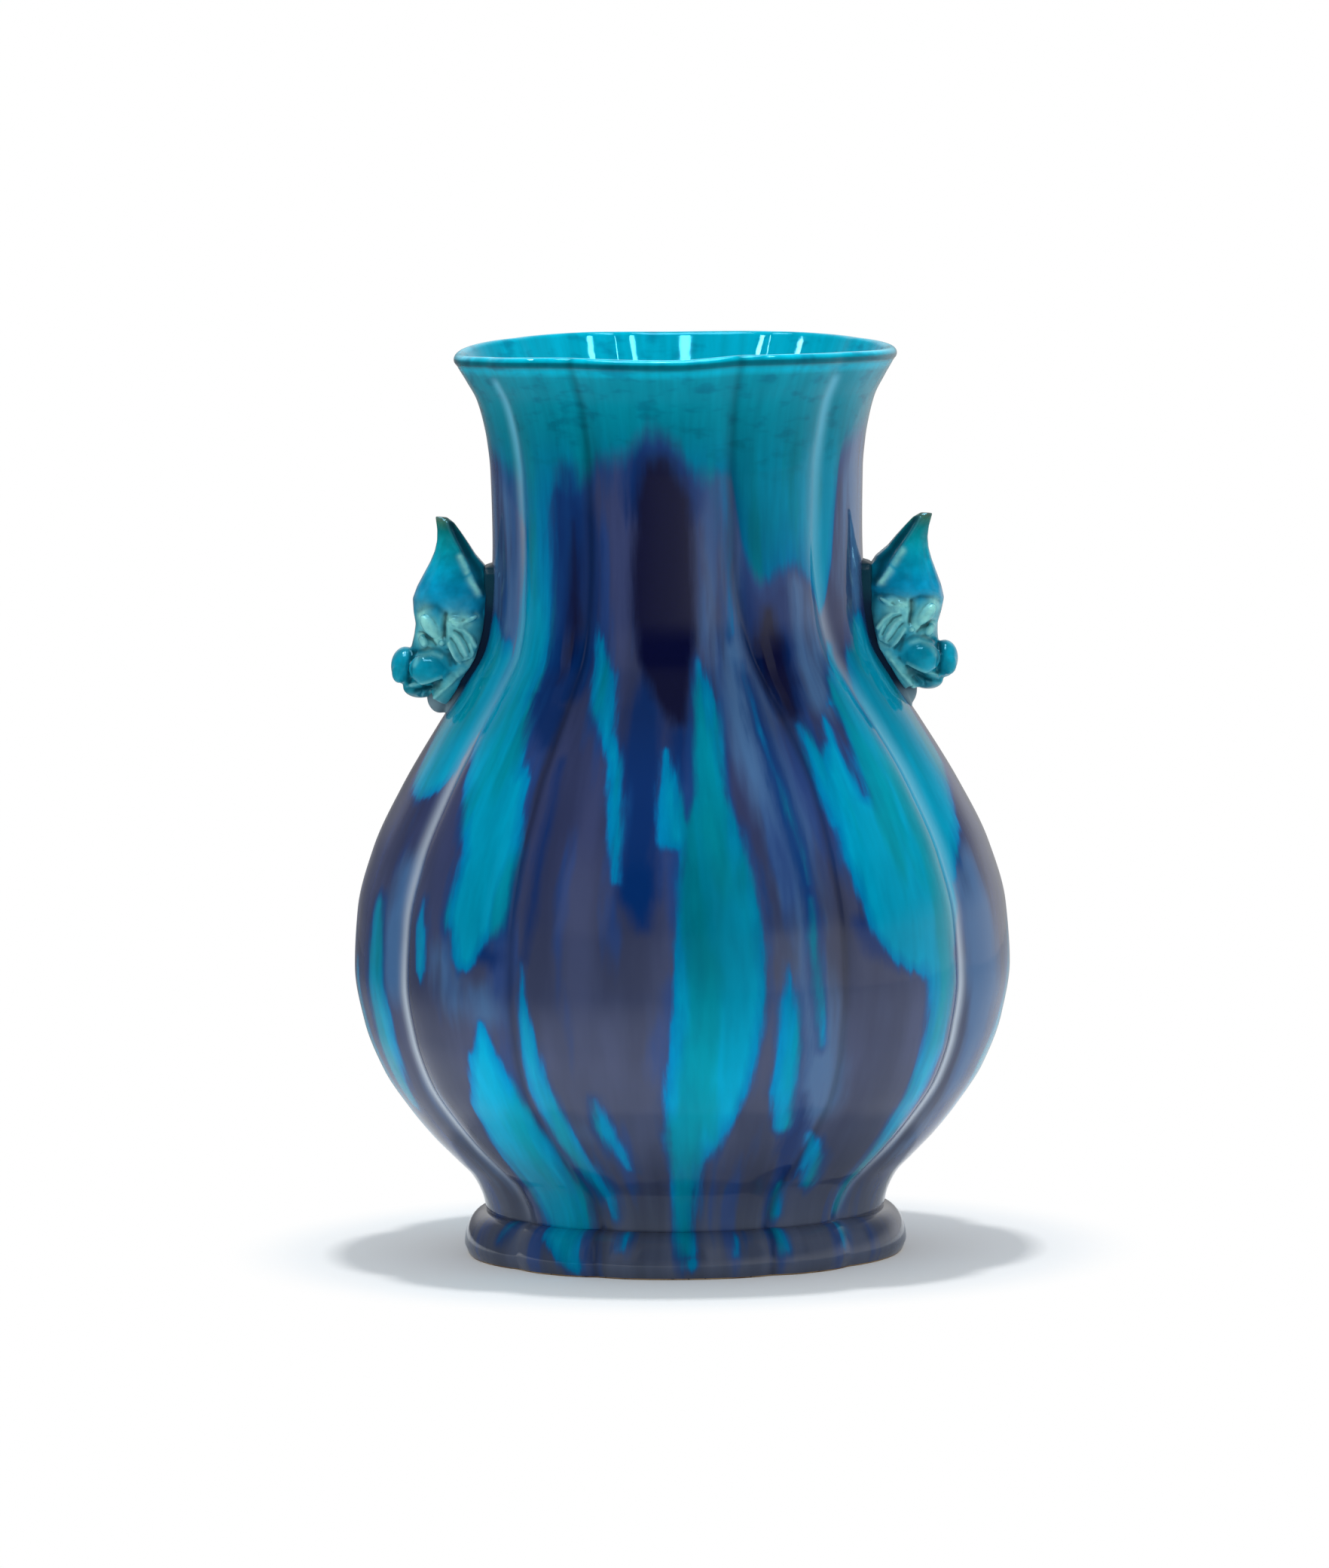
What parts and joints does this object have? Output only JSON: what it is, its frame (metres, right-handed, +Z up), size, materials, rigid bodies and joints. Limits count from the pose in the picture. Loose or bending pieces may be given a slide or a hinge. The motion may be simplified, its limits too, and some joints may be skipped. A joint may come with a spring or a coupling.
{
  "type": "hu vase",
  "caption": "Lobed hu vase with a flared mouth, a rounded belly, a splayed foot ring and a beast mask on each side of the neck, in splashed turquoise and aubergine glaze.",
  "frame": {"origin": "centre of the ring that the foot stands on, at its underside", "axes": "+Z up along the vase's axis; the front faces -Y and the masks lie on +X and -X"},
  "size_m": [0.2164, 0.2164, 0.3],
  "materials": {
    "splashed_glaze": "glossy, turquoise runs over aubergine",
    "inside_glaze": "glossy, clear turquoise",
    "lip_glaze": "glossy, clear turquoise",
    "foot_glaze": "glossy, dark aubergine with drips; bare under the ring",
    "mask_glaze": "glossy, pooled turquoise",
    "pale_mask_glaze": "glossy, thin pale turquoise on raised edges",
    "stem_glaze": "glossy, dark aubergine"
  },
  "bodies": {
    "root": {"foot_ring": "foot_glaze", "base_slab": "inside_glaze", "lower_body": "splashed_glaze", "upper_body": "splashed_glaze", "neck": "splashed_glaze", "lip": "lip_glaze", "left_stem": "stem_glaze", "left_head": "mask_glaze", "left_crest": "mask_glaze", "left_nose": "mask_glaze", "left_jaw": "mask_glaze", "left_brow_front": "pale_mask_glaze", "left_brow_back": "pale_mask_glaze", "left_ear_front": "pale_mask_glaze", "left_ear_back": "pale_mask_glaze", "left_mane_front": "pale_mask_glaze", "left_mane_back": "pale_mask_glaze", "right_stem": "stem_glaze", "right_head": "mask_glaze", "right_crest": "mask_glaze", "right_nose": "mask_glaze", "right_jaw": "mask_glaze", "right_brow_front": "pale_mask_glaze", "right_brow_back": "pale_mask_glaze", "right_ear_front": "pale_mask_glaze", "right_ear_back": "pale_mask_glaze", "right_mane_front": "pale_mask_glaze", "right_mane_back": "pale_mask_glaze"}
  },
  "joints": []
}
